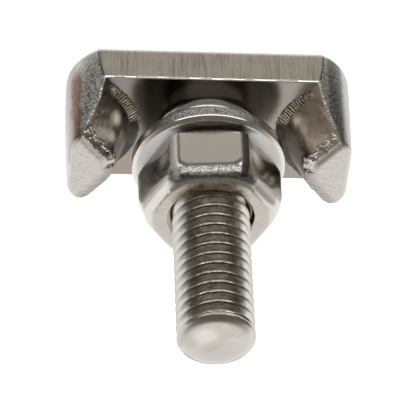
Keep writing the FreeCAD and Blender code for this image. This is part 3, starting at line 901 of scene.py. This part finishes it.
def nut_metal():
    """The nut: clean flats, a pitted top edge with a painted highlight and painted shade, side flats
    with painted reflections and shade, paler rougher corners and a pale round top.
    """
    metal = Metal("nut_steel", NUT_STEEL, 0.15)
    height = metal.math("SUBTRACT", metal.z, NUT_BOTTOM)
    pits = metal.noise(6.0, 2.0, roughness=0.6)
    near_flat = metal.ramp(metal.y, -4.6, -5.2)
    crown = metal.both(metal.ramp(height, 5.2, 5.4), metal.ramp(height, 6.65, 6.5),
                       metal.ramp(metal.ring, 5.9, 6.1), near_flat)
    metal.tint(near_flat, NUT_NEAR_FLAT)
    # A painted highlight along the near top edge, with painted shade above it, over its pits.
    metal.tint(crown, NUT_CROWN_PAINTED_HIGHLIGHT)
    metal.tint(metal.both(crown, metal.ramp(height, 5.85, 6.0)), NUT_CROWN_PAINTED_SHADE)
    metal.polish(crown, 0.23)
    # The side flats carry a painted reflection of the washer along their foot and painted shade above
    # it.
    side_flat = metal.share("side_flat")
    slant = metal.math("MULTIPLY_ADD", metal.y, 0.11, height)
    foot_reflection = metal.both(side_flat, metal.ramp(slant, 0.6, 0.45))
    metal.tint(foot_reflection, NUT_FOOT_PAINTED_REFLECTION)
    metal.polish(foot_reflection, 0.5)
    metal.shade(metal.both(side_flat, metal.within(slant, 0.65, 1.8, 0.15)), 0.5)
    # Painted reflections of bright spots on the side flats.
    glow = metal.both(side_flat, metal.spots(NUT_REFLECTION_SPOTS))
    metal.tint(glow, NUT_PAINTED_REFLECTION)
    metal.dull(glow)
    # Painted shade on one side flat.
    shaded_flat = metal.both(metal.ramp(metal.y, 0.0, -0.5), metal.ramp(metal.ring, 6.2, 6.4),
                             metal.ramp(height, 6.2, 5.8), metal.ramp(metal.x, 3.9, 4.3))
    metal.shade(shaded_flat, 0.6)
    # The upright corners are rougher and paler, one is dark and pitted, and a painted shade line runs
    # beside one.
    corner = metal.share("corner")
    dark_corner = metal.share("dark_corner")
    metal.polish(corner, 0.42)
    metal.tint(corner, NUT_CORNER)
    metal.tint(dark_corner, NUT_DARK_CORNER)
    pitted = metal.math("MAXIMUM", crown, dark_corner)
    metal.shade(metal.both(pitted, metal.ramp(pits, 0.56, 0.40)), 0.45)
    metal.raise_by(metal.both(metal.math("MAXIMUM", crown, corner), pits), 0.04)
    metal.shade(metal.share("corner_shade_line"), 0.45)
    # The bore, and the round top with a painted reflection of the stud on its near side.
    metal.tint(metal.ramp(metal.ring, 4.6, 4.4), NUT_BORE_STEEL)
    top = metal.ramp(height, 6.7, 6.78)
    metal.tint(metal.both(top, metal.ramp(metal.ring, 4.5, 4.6)), NUT_TOP_STEEL)
    stud_reflection = metal.both(top, metal.ramp(metal.ring, 5.9, 5.5), metal.ramp(metal.y, -3.6, -4.7),
                      metal.ramp(metal.noise(0.9, 2.0), 0.35, 0.6, 0.4))
    metal.tint(stud_reflection, NUT_TOP_PAINTED_REFLECTION)
    metal.polish(stud_reflection, 0.4)
    metal.raise_by(metal.both(top, metal.noise(1.1, 3.0)), 0.02)
    return metal.finish()


def mark_head(thing):
    """Shares that tell the head's inner walls, ledges, chipped edges and ends from the rest."""
    x, y, z = places_of(thing)
    side_x, side_y = np.abs(x), np.abs(y)
    wall = leg_wall(side_x, side_y, z)
    outline = head_outline(side_x, side_y, z)
    on_leg = side_x > 6
    on_wall = (z > WEB_TOP + 0.02) & (wall > -0.10) & (outline < -0.02) & on_leg
    add_share(thing, "wall", on_wall)
    add_share(thing, "inside", outline < -0.15)
    low = np.clip((WEB_TOP + LEDGE_HEIGHT + 0.12 - z) / 0.1, 0, 1)
    near = np.clip((-1.0 - y) / 0.8, 0, 1)
    add_share(thing, "ledge", on_wall * low * np.clip((6.7 - side_y) / 0.4, 0, 1) * near)
    # The far part of the ledge, which the head's material darkens as painted shade.
    add_share(thing, "far_ledge_shade", on_wall * low * (1 - near))
    add_share(thing, "along", side_x * 0.55 + side_y * 0.83)
    chipped = on_leg & (wall < -0.04) & (z < LEG_END - 0.04) & (z > 9.2) & (outline < -0.1)
    add_share(thing, "chipped", chipped & (wall > -0.6) & (y < 0))
    rolled = np.clip((wall + 1.5) / 1.3, 0, 1) * np.clip((y + 1.5) / 1.5, 0, 1)
    add_share(thing, "rolled", rolled * (z > 8.8) * on_leg)
    between = (outline < -0.01) & (wall < -0.03) & (wall > -0.5) & on_leg
    add_share(thing, "edge", between & (z > WEB_TOP + 0.1) & (z < LEG_END - 0.6) & (y < 0))


def mark_nut(thing):
    """Shares that tell the nut's rounded corners, a painted shade line beside one and its near side
    flats.
    """
    x, y, _ = places_of(thing)
    turned = np.degrees(np.arctan2(y, x) - math.radians(NUT_TURNED))
    outside = np.hypot(x, y) > 6.6
    past_corner = np.abs((turned + 30) % 60 - 30)
    corner = np.clip((4.1 - past_corner) / 1.2, 0, 1) * outside
    add_share(thing, "corner", corner)
    add_share(thing, "dark_corner", corner * (np.abs(turned + 120) < 15))
    # A thin line beside one corner, which the nut's material darkens as painted shade.
    beside = turned + 60
    add_share(thing, "corner_shade_line", (beside < -3.7) & (beside > -5.0) & outside)
    from_side = np.abs(np.abs(turned + 90) - 60)
    add_share(thing, "side_flat", np.clip((28 - from_side) / 2, 0, 1))


mark_head(head)
mark_nut(nut)
for piece, material in ((head, head_metal()), (stud, thread_metal()), (stud_end, end_metal()),
                        (washer, washer_metal()), (nut, nut_metal())):
    piece.data.materials.append(material)

# Camera: where the photograph was taken from, found by fitting the known sizes to it.
TARGET = Vector((0.258, 0.0, 15.11)) * MM
DISTANCE = 361.11 * MM
ELEVATION = math.radians(40.84)
AZIMUTH = math.radians(5.74)
ROLL = math.radians(177.56)
FOCAL_PIXELS = 3558.67
PICTURE_PIXELS = 416

toward = Vector((math.cos(ELEVATION) * math.sin(AZIMUTH),
                 -math.cos(ELEVATION) * math.cos(AZIMUTH), math.sin(ELEVATION)))
right = (-toward).cross(Vector((0, 0, 1))).normalized()
up = right.cross(-toward)
turned_right = right * math.cos(ROLL) + up * math.sin(ROLL)
turned_up = up * math.cos(ROLL) - right * math.sin(ROLL)
camera_data = bpy.data.cameras.new("camera")
camera_data.sensor_width = 36.0
camera_data.lens = FOCAL_PIXELS * camera_data.sensor_width / PICTURE_PIXELS
camera_data.clip_start = 10 * MM
camera = bpy.data.objects.new("camera", camera_data)
pose = Matrix((turned_right, turned_up, toward)).transposed().to_4x4()
pose.translation = TARGET + toward * DISTANCE
camera.matrix_world = pose
scene.collection.objects.link(camera)
scene.camera = camera


# Light: the floor's paper and its glow, and the colours of the surroundings.
FLOOR_PAPER = (0.8, 0.8, 0.8, 1)
FLOOR_GLOW = 0.8
DARK_ROOM = (0.16, 0.148, 0.13, 1)
PALE_BELOW = (1.0, 0.98, 0.95, 1)
TABLE_STRIP = (1.8, 1.77, 1.7, 1)
PALE_SWEEP = (1.08, 1.07, 1.05, 1)
SWEEP_FOOT = (1.3, 1.3, 1.3, 1)
EVEN_LIGHT = (1.0, 0.99, 0.97, 1)
WHITE = (1, 1, 1, 1)


def flat_card(name, corners):
    """A four-cornered card of the set."""
    mesh = bpy.data.meshes.new(name)
    mesh.from_pydata([Vector(corner) for corner in corners], [], [(0, 1, 2, 3)])
    card = bpy.data.objects.new(name, mesh)
    scene.collection.objects.link(card)
    return card


def build_floor():
    """A pale floor that shows white to the camera and keeps the object's soft shadow."""
    level = -0.02 * MM
    reach = 1500 * MM
    floor = flat_card("floor", [(-reach, -reach, level), (reach, -reach, level),
                                (reach, reach, level), (-reach, reach, level)])
    material = bpy.data.materials.new("floor")
    wiring = Wiring(material)
    path = wiring.node("ShaderNodeLightPath").outputs
    paper = wiring.node("ShaderNodeBsdfDiffuse", {"Color": FLOOR_PAPER}).outputs[0]
    glow = wiring.node("ShaderNodeEmission", {
        "Strength": wiring.math("MULTIPLY", path["Is Camera Ray"], FLOOR_GLOW)}).outputs[0]
    lit = wiring.node("ShaderNodeAddShader", {0: paper, 1: glow}).outputs[0]
    clear = wiring.node("ShaderNodeBsdfTransparent").outputs[0]
    shown = wiring.node("ShaderNodeMixShader", {0: path["Is Glossy Ray"], 1: lit, 2: clear})
    wiring.output(shown.outputs[0])
    floor.data.materials.append(material)


def build_world():
    """The surroundings by direction: a pale sweep behind and below, a dark room in front.

    The camera sees white and chalky surfaces are lit evenly. Only reflections see the room:
    the low strip in front stands for the lit edge of the table.
    """
    world = bpy.data.worlds.new("world")
    scene.world = world
    wiring = Wiring(world)
    where = wiring.node("ShaderNodeTexCoord").outputs["Generated"]
    split = wiring.node("ShaderNodeSeparateXYZ", {"Vector": where}).outputs
    x, y, z = split[0], split[1], split[2]
    depth = wiring.math("MULTIPLY_ADD", x, 0.1, y)
    overhead = wiring.ramp(z, 0.6, 0.92)
    behind = wiring.math("MULTIPLY", wiring.ramp(depth, -0.1, 0.32),
                         wiring.math("SUBTRACT", 1.0, overhead))
    below = wiring.ramp(z, -0.55, -0.85)
    strip = wiring.math("MULTIPLY", wiring.ramp(z, -0.36, -0.30), wiring.ramp(z, -0.06, -0.12))
    strip = wiring.math("MULTIPLY", strip, wiring.ramp(y, -0.62, -0.74))
    low_behind = wiring.math("MULTIPLY", wiring.ramp(y, 0.6, 0.9), wiring.ramp(z, 0.1, -0.1))
    color = wiring.mix(below, DARK_ROOM, PALE_BELOW)
    color = wiring.mix(strip, color, TABLE_STRIP)
    color = wiring.mix(behind, color, PALE_SWEEP)
    color = wiring.mix(low_behind, color, SWEEP_FOOT)
    path = wiring.node("ShaderNodeLightPath").outputs
    color = wiring.mix(path["Is Diffuse Ray"], color, EVEN_LIGHT)
    color = wiring.mix(path["Is Camera Ray"], color, WHITE)
    shown = wiring.node("ShaderNodeBackground", {"Color": color}).outputs[0]
    wiring.output(shown, "ShaderNodeOutputWorld")


build_floor()
build_world()
